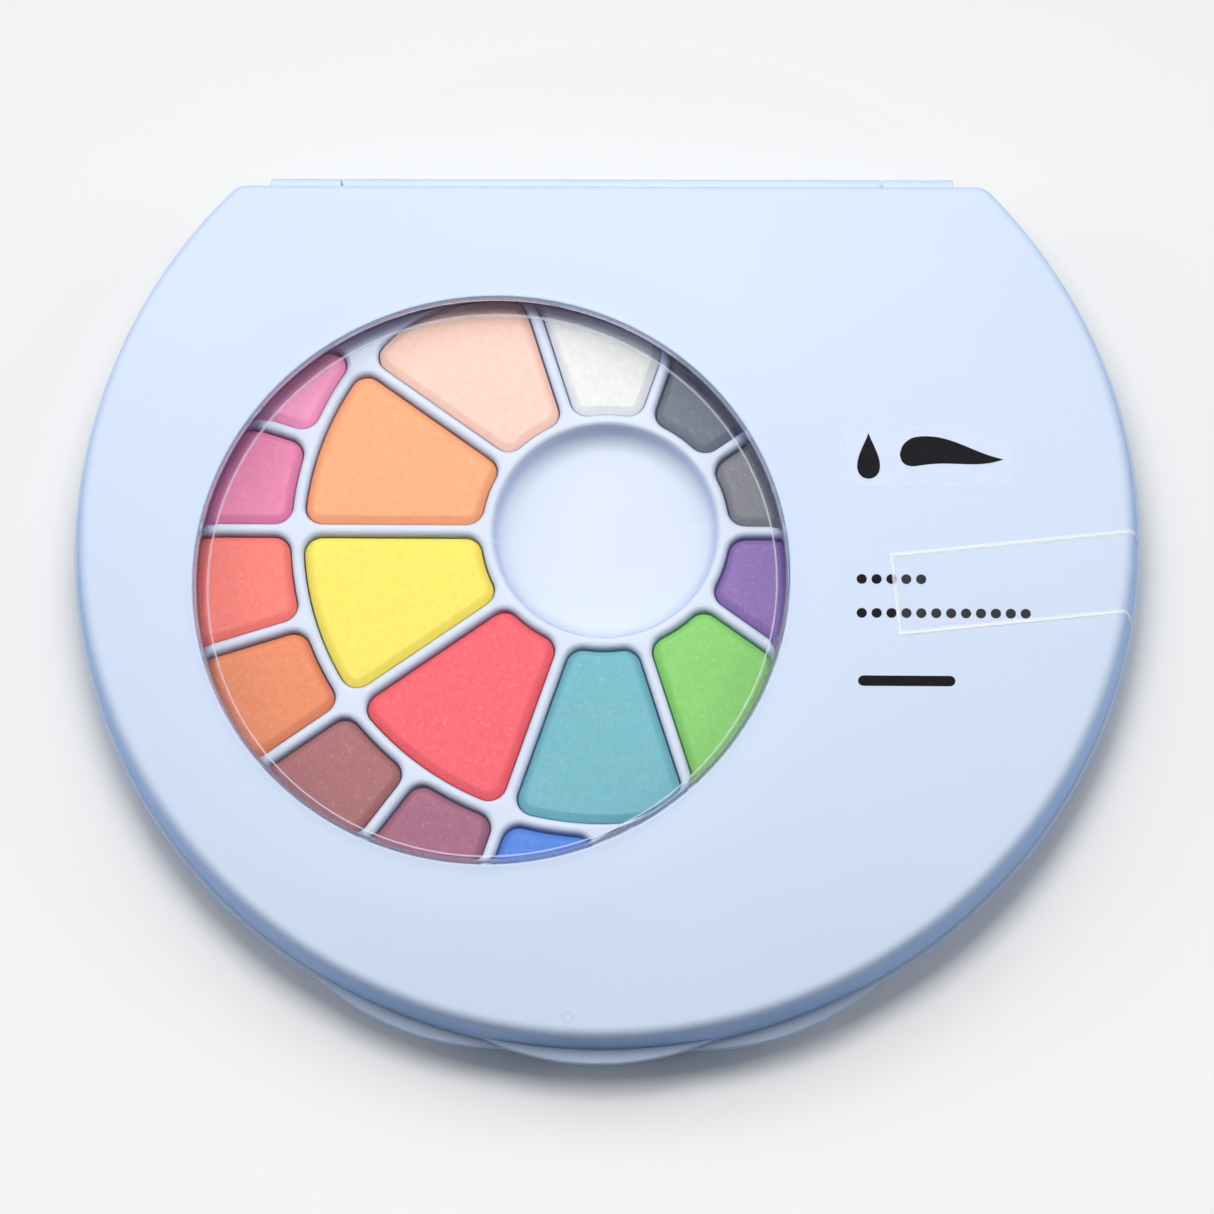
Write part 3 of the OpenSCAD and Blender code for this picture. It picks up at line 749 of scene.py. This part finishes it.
def flatPiece(name, outline, material, thick=printLook["thick"]):
    bm = bmesh.new()
    loft(bm, [[(x, y, z) for x, y in outline] for z in (topZ - 0.02, topZ + thick)],
         capStart=True, capEnd=True)
    return makeObject(name, bm, material, sharp=30)


def dropOutline(cx, cy, wide, tall):
    turns = [2 * math.pi * i / 48 for i in range(48)]
    return [(cx - wide * math.sin(t) * math.sin(t / 2) ** 1.6, cy + tall * math.cos(t))
            for t in turns]


def strokeOutline(x0, x1, y, half):  # a loaded brush set down, then lifted to a point
    top, bottom = [], []
    heel = 0.16  # share of the length that is the round start
    for i in range(49):
        t = i / 48
        if t < heel:
            body = math.sqrt(max(0.0, 1 - (1 - t / heel) ** 2))
        else:
            body = 1 - ((t - heel) / (1 - heel)) ** 1.7
        wave = 0.9 * math.sin(1.6 * math.pi * t)
        top.append((x0 + (x1 - x0) * t, y + wave + half * body))
        bottom.append((x0 + (x1 - x0) * t, y + wave - half * body))
    return top[::-1] + bottom[1:-1]


def barOutline(x0, x1, y, half):
    return arcPoints((x1 - half, y), half, -math.pi / 2, math.pi / 2, 8) + \
        arcPoints((x0 + half, y), half, math.pi / 2, 3 * math.pi / 2, 8)


def roundedOutline(x0, x1, y0, y1, corner):
    spots = ((x1 - corner, y1 - corner), (x0 + corner, y1 - corner), (x0 + corner, y0 + corner),
             (x1 - corner, y0 + corner))
    return [p for k, spot in enumerate(spots)
            for p in arcPoints(spot, corner, k * math.pi / 2, (k + 1) * math.pi / 2, 8)]


# Rows of round dots on a grid
def dotTree():
    tree = bpy.data.node_groups.new("dotRow", "GeometryNodeTree")
    for name, kind in (("Base", "NodeSocketGeometry"), ("Count", "NodeSocketInt"),
                       ("Start", "NodeSocketVector"), ("Pitch", "NodeSocketFloat"),
                       ("Radius", "NodeSocketFloat"), ("Thickness", "NodeSocketFloat"),
                       ("Ink", "NodeSocketMaterial")):
        tree.interface.new_socket(name, in_out="INPUT", socket_type=kind)
    tree.interface.new_socket("Dots", in_out="OUTPUT", socket_type="NodeSocketGeometry")
    given = addNode(tree, "NodeGroupInput").outputs
    step = addNode(tree, "ShaderNodeCombineXYZ", {"X": given["Pitch"]})
    row = addNode(tree, "GeometryNodeMeshLine", {"Count": given["Count"],
                                                 "Start Location": given["Start"],
                                                 "Offset": step.outputs[0]}, mode="OFFSET")
    dot = addNode(tree, "GeometryNodeMeshCylinder", {"Vertices": 28, "Radius": given["Radius"],
                                                     "Depth": given["Thickness"]})
    rows = addNode(tree, "GeometryNodeInstanceOnPoints", {"Points": row.outputs[0],
                                                          "Instance": dot.outputs["Mesh"]})
    real = addNode(tree, "GeometryNodeRealizeInstances", {"Geometry": rows.outputs[0]})
    inked = addNode(tree, "GeometryNodeSetMaterial", {"Geometry": real.outputs[0],
                                                      "Material": given["Ink"]})
    addNode(tree, "NodeGroupOutput", {"Dots": inked.outputs[0]})
    return tree


dots = dotTree()
sticker = flatPiece("stickerClear", roundedOutline(*printLook["sticker"]),
                    stickerVinyl("stickerVinyl", "#f6f9ff"), printLook["stickerThick"])
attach(sticker, "lid")
printed = [flatPiece("printDrop", dropOutline(*printLook["drop"]), inkBlack),
           flatPiece("printStroke", strokeOutline(*printLook["stroke"]), inkBlack),
           flatPiece("printBar", barOutline(*printLook["bar"]), inkBlack)]
for name, count, y in printLook["rows"]:
    row = bpy.data.objects.new(name, bpy.data.meshes.new(name))
    bpy.context.scene.collection.objects.link(row)
    mod = row.modifiers.new("dots", "NODES")
    mod.node_group = dots
    mod[socketId(dots, "Count")] = count
    mod[socketId(dots, "Start")] = (printLook["dotX"] * mm, y * mm, (topZ + 0.005) * mm)
    mod[socketId(dots, "Pitch")] = printLook["dotPitch"] * mm
    mod[socketId(dots, "Radius")] = printLook["dotR"] * mm
    mod[socketId(dots, "Thickness")] = 0.05 * mm
    mod[socketId(dots, "Ink")] = inkBlack
    bakeModifiers(row)
    printed.append(row)
for piece in printed:
    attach(piece, "lid")
print("print made")


# ---- moulding marks ----

# Where the plastic went in and where the pins pushed the cooled piece out: shallow round marks
markLook = {"gate": (-5.05, -94.4, 1.1), "pin": 2.0, "lift": 0.05,
            "lidPins": ((78, 38), (86, 0), (78, -38), (50, -72), (-8, -84), (-62, -62), (-86, 2),
                        (-70, 46)),
            "basePins": ((70, 40), (70, -40), (-70, 40), (-70, -40), (0, -82), (0, 55), (0, 0))}


def ringMark(bm, x, y, r, z0, z1):  # a low round plateau with a sloping edge
    loft(bm, [circleRing((x, y), radius, z, 32) for radius, z in
              ((r, z0), (r, z0 * 0.4 + z1 * 0.6), (r - 0.12, z1), (r - 0.35, z1),
               (r - 0.5, z0 * 0.6 + z1 * 0.4))], capStart=True, capEnd=True)


def makeMarks(name, marks, body):
    bm = bmesh.new()
    for mark in marks:
        ringMark(bm, *mark)
    marked = makeObject(name, bm, caseAbs, sharp=50)
    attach(marked, body)


lift = markLook["lift"]
makeMarks("lidGateMark", [(*markLook["gate"], topZ - 0.02, topZ + lift)], "lid")
makeMarks("lidPinMarks", [(x, y, markLook["pin"], lidLook["ceiling"] + 0.02,
                           lidLook["ceiling"] - 2 * lift) for x, y in markLook["lidPins"]], "lid")
makeMarks("basePinMarks", [(x, y, markLook["pin"] + 0.5, 0.2, 0.0) for x, y in
                           markLook["basePins"]], "base")
print("marks made")


# ---- seal film ----

# Clear polypropylene film: nearly unseen on the lid, but its cut edges catch the light as white
# lines
filmLook = {"tilt": 6.3, "x0": 52.0, "y0": -28.1, "width": 16.0, "thick": 0.12, "edge": 0.9}


def clearFilm(name, look):
    material, tree = newMaterial(name)
    place = addNode(tree, "ShaderNodeTexCoord").outputs["Object"]
    along = addNode(tree, "ShaderNodeVectorRotate", {
        "Vector": place, "Angle": -math.radians(look["tilt"])}, rotation_type="Z_AXIS")
    parts = addNode(tree, "ShaderNodeSeparateXYZ", {0: along.outputs[0]})
    half, rim = look["width"] / 2, look["edge"]
    side = addNode(tree, "ShaderNodeMath", {0: parts.outputs["Y"], 1: (look["y0"] + half) * mm},
                   operation="SUBTRACT")
    away = addNode(tree, "ShaderNodeMath", {0: side.outputs[0]}, operation="ABSOLUTE")
    long = addNode(tree, "ShaderNodeMapRange", {
        "Value": away.outputs[0], "From Min": (half - rim) * mm,
        "From Max": (half - rim * 0.5) * mm})
    short = addNode(tree, "ShaderNodeMapRange", {
        "Value": parts.outputs["X"], "From Min": (look["x0"] + rim * 0.5) * mm,
        "From Max": (look["x0"] + rim) * mm, "To Min": 0.75, "To Max": 0.0})
    edge = addNode(tree, "ShaderNodeMath", {0: long.outputs["Result"], 1: short.outputs["Result"]},
                   operation="MAXIMUM")
    alpha = addNode(tree, "ShaderNodeMapRange", {"Value": edge.outputs[0], "To Min": 0.03,
                                                 "To Max": 0.62})
    skin = addNode(tree, "ShaderNodeBsdfPrincipled", {
        "Base Color": linear("#f7fbff"), "Roughness": 0.18, "Alpha": alpha.outputs["Result"]})
    addNode(tree, "ShaderNodeOutputMaterial", {"Surface": skin.outputs["BSDF"]})
    return material


def makeFilm():
    look = filmLook
    tilt = math.radians(look["tilt"])
    r = lidRing(topZ - lidLook["topRound"], 0.0)[0]
    bm = bmesh.new()
    rows = []
    across = 12
    bend, cos, sin = lidLook["topRound"], math.cos(tilt), math.sin(tilt)
    # the lid's skin from the flat top out over the shoulder and down the side
    profile = [(g, topZ) for g in (2.6, 2.2)]
    profile += [(bend * (1 - math.sin(math.radians(a))),
                 topZ - bend + bend * math.cos(math.radians(a))) for a in range(0, 91, 15)]
    for side in range(across + 1):
        v = look["y0"] + look["width"] * side / across
        # along the flat, to where this long line meets the circle 3 mm inside the skin
        reach = math.sqrt((r - 3.0) ** 2 - v * v)
        row = [(look["x0"] + (reach - look["x0"]) * k / 9, v, topZ, 0.0, 1.0) for k in range(9)]
        for g, z in profile:
            up = max(0.0, (z - (topZ - bend)) / bend)
            row.append((math.sqrt((r - g) ** 2 - v * v), v, z, math.sqrt(1 - up * up), up))
        for k in range(1, 5):
            z = topZ - bend + (lidZ + 0.05 - topZ + bend) * k / 4
            row.append((math.sqrt(lidRing(z, 0.0)[0] ** 2 - v * v), v, z, 1.0, 0.18))
        rows.append(row)
    layers = []
    for lift in (0.01, look["thick"] * 0.85):
        grid = []
        for row in rows:
            line = []
            for x, v, z, out, up in row:
                radius = math.hypot(x, v)
                px, py = x + lift * out * x / radius, v + lift * out * v / radius
                line.append(bm.verts.new((px * cos - py * sin, px * sin + py * cos, z + lift * up)))
            grid.append(line)
        layers.append(grid)
    count = len(rows[0])
    for grid in layers:
        for i in range(across):
            for k in range(count - 1):
                bm.faces.new((grid[i][k], grid[i][k + 1], grid[i + 1][k + 1], grid[i + 1][k]))
    low, high = layers
    border = [(0, k) for k in range(count)] + [(i, count - 1) for i in range(1, across + 1)]
    border += [(across, k) for k in range(count - 2, -1, -1)]
    border += [(i, 0) for i in range(across - 1, 0, -1)]
    for (i, k), (m, n) in zip(border, border[1:] + border[:1]):
        bm.faces.new((low[i][k], low[m][n], high[m][n], high[i][k]))
    return makeObject("sealFilm", bm, clearFilm("clearFilm", look), sharp=50)


film = makeFilm()
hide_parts("seal_film")
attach(film, "lid")
print("film made")


# ---- hinge pins ----

# Drawn steel wire: bright grey with fine lines along its length
def drawnSteel(name):
    material, tree = newMaterial(name)
    place = addNode(tree, "ShaderNodeTexCoord").outputs["Object"]
    # lines 0.1 mm apart, fifty times as long
    lines = addNode(tree, "ShaderNodeMapping", {"Vector": place, "Scale": (0.02, 1.0, 1.0)})
    scratch = addNode(tree, "ShaderNodeTexNoise", {"Vector": lines.outputs[0], "Scale": 9000.0})
    rough = addNode(tree, "ShaderNodeMapRange", {"Value": scratch.outputs["Fac"], "To Min": 0.2,
                                                 "To Max": 0.42})
    skin = addNode(tree, "ShaderNodeBsdfPrincipled", {
        "Base Color": linear("#b9bcc2"), "Metallic": 1.0, "Roughness": rough.outputs["Result"]})
    addNode(tree, "ShaderNodeOutputMaterial", {"Surface": skin.outputs["BSDF"]})
    return material


steel = drawnSteel("drawnSteel")
for name in ("hinge_pin_left", "hinge_pin_right"):
    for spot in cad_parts[name].material_slots:
        spot.material = steel
print("pins finished")


# ---- studio ----

# tones at the front and back, and the rings round the case, in m, where its own glow sets in
floorLook = {"front": "#f4f4f3", "back": "#d3d3d2", "depth": 0.14, "glow": "#f7f7f8",
             "rise": (0.1015, 0.1065), "risen": 0.55, "fill": (0.12, 0.6)}
# the room's colour, and its strength as light and as what the eye sees
roomLook = {"colour": "#eaf0ff", "light": 0.055, "seen": 0.9}


def seenRays(tree):  # 1 for what the eye sees, directly or through the window
    ray = addNode(tree, "ShaderNodeLightPath").outputs
    return addNode(tree, "ShaderNodeMath", {0: ray["Is Camera Ray"], 1: ray["Is Transmission Ray"]},
                   operation="MAXIMUM").outputs[0]


# Seamless paper, a little paler at the front, where less light reaches it; away from the case it
# glows, so it stays pale to the eye, also through the window
def makeFloor():
    look = floorLook
    material, tree = newMaterial("paleSweep")
    place = addNode(tree, "ShaderNodeTexCoord").outputs["Object"]
    depth = addNode(tree, "ShaderNodeSeparateXYZ", {0: place}).outputs["Y"]
    fade = addNode(tree, "ShaderNodeMapRange", {"Value": depth, "From Min": -look["depth"],
                                                "From Max": look["depth"]})
    tone = addNode(tree, "ShaderNodeMix", {"Factor": fade.outputs["Result"],
                                           "A": linear(look["front"]), "B": linear(look["back"])},
                   data_type="RGBA")
    paper = addNode(tree, "ShaderNodeBsdfDiffuse", {"Color": tone.outputs["Result"]})
    reach = addNode(tree, "ShaderNodeVectorMath", {0: place}, operation="LENGTH").outputs["Value"]
    near = addNode(tree, "ShaderNodeMapRange", {
        "Value": reach, "From Min": look["rise"][0], "From Max": look["rise"][1],
        "To Max": look["risen"]})
    far = addNode(tree, "ShaderNodeMapRange", {
        "Value": reach, "From Min": look["fill"][0], "From Max": look["fill"][1],
        "To Min": near.outputs["Result"]})
    seen = addNode(tree, "ShaderNodeMath", {0: far.outputs["Result"], 1: seenRays(tree)},
                   operation="MULTIPLY")
    glow = addNode(tree, "ShaderNodeEmission", {"Color": linear(look["glow"]), "Strength": 1.0})
    sweep = addNode(tree, "ShaderNodeMixShader", {0: seen.outputs[0], 1: paper.outputs[0],
                                                  2: glow.outputs[0]})
    addNode(tree, "ShaderNodeOutputMaterial", {"Surface": sweep.outputs[0]})
    bm = bmesh.new()
    bmesh.ops.create_grid(bm, x_segments=1, y_segments=1, size=6000)
    floor = makeObject("studioFloor", bm, material, recalc=False)
    return floor


makeFloor()
world = bpy.data.worlds.new("studio")
bpy.context.scene.world = world
world.use_nodes = True
backdrop = world.node_tree.nodes["Background"]
backdrop.inputs["Color"].default_value = linear(roomLook["colour"])
strength = addNode(world.node_tree, "ShaderNodeMapRange", {
    "Value": seenRays(world.node_tree), "To Min": roomLook["light"], "To Max": roomLook["seen"]})
world.node_tree.links.new(strength.outputs["Result"], backdrop.inputs["Strength"])

# turn and height of each soft light round the case, its distance, size in m and power; a light that
# isn't in reflections leaves the window clear
lights = {"overhead": (97, 74, 0.46, (0.34, 0.3), 1.7, False),
          "backBox": (100, 47, 1.1, (1.6, 0.5), 3.4, True),
          "leftBox": (172, 30, 1.2, (0.8, 0.6), 5.3, False),
          "rightBox": (8, 30, 1.2, (0.8, 0.6), 5.3, False)}
for name, (turn, height, distance, size, power, mirrored) in lights.items():
    lamp = bpy.data.lights.new(name, "AREA")
    lamp.shape, lamp.size, lamp.size_y, lamp.energy = "RECTANGLE", size[0], size[1], power
    lampObj = bpy.data.objects.new(name, lamp)
    bpy.context.scene.collection.objects.link(lampObj)
    turn, height = math.radians(turn), math.radians(height)
    toLamp = Vector((math.cos(turn) * math.cos(height), math.sin(turn) * math.cos(height),
                     math.sin(height)))
    lampObj.location = toLamp * distance
    lampObj.rotation_euler = toLamp.to_track_quat("Z", "Y").to_euler()
    lampObj.visible_glossy = lampObj.visible_transmission = mirrored
    lampObj.visible_camera = False

view = {"elevation": 71.94, "yaw": -6.34, "roll": -5.71, "distance": 874.0,
        "aim": (0.4, -13.8, 10.0), "lens": 138.2}
el, yaw, roll = [math.radians(view[k]) for k in ("elevation", "yaw", "roll")]
back = Vector((-math.sin(yaw) * math.cos(el), -math.cos(yaw) * math.cos(el), math.sin(el)))
right = (-back).cross(Vector((0, 0, 1))).normalized()
up = right.cross(-back)
camRight = math.cos(roll) * right + math.sin(roll) * up
camUp = -math.sin(roll) * right + math.cos(roll) * up
camera = bpy.data.cameras.new("camera")
camera.lens, camera.sensor_width = view["lens"], 36
camera.clip_start, camera.clip_end = 0.05, 20
cameraObj = bpy.data.objects.new("camera", camera)
bpy.context.scene.collection.objects.link(cameraObj)
turn = Matrix((camRight, camUp, back)).transposed().to_4x4()
place = (Vector(view["aim"]) + back * view["distance"]) * mm
cameraObj.matrix_world = Matrix.Translation(place) @ turn
bpy.context.scene.camera = cameraObj
bpy.context.scene.view_settings.view_transform = "Standard"
print("studio set")
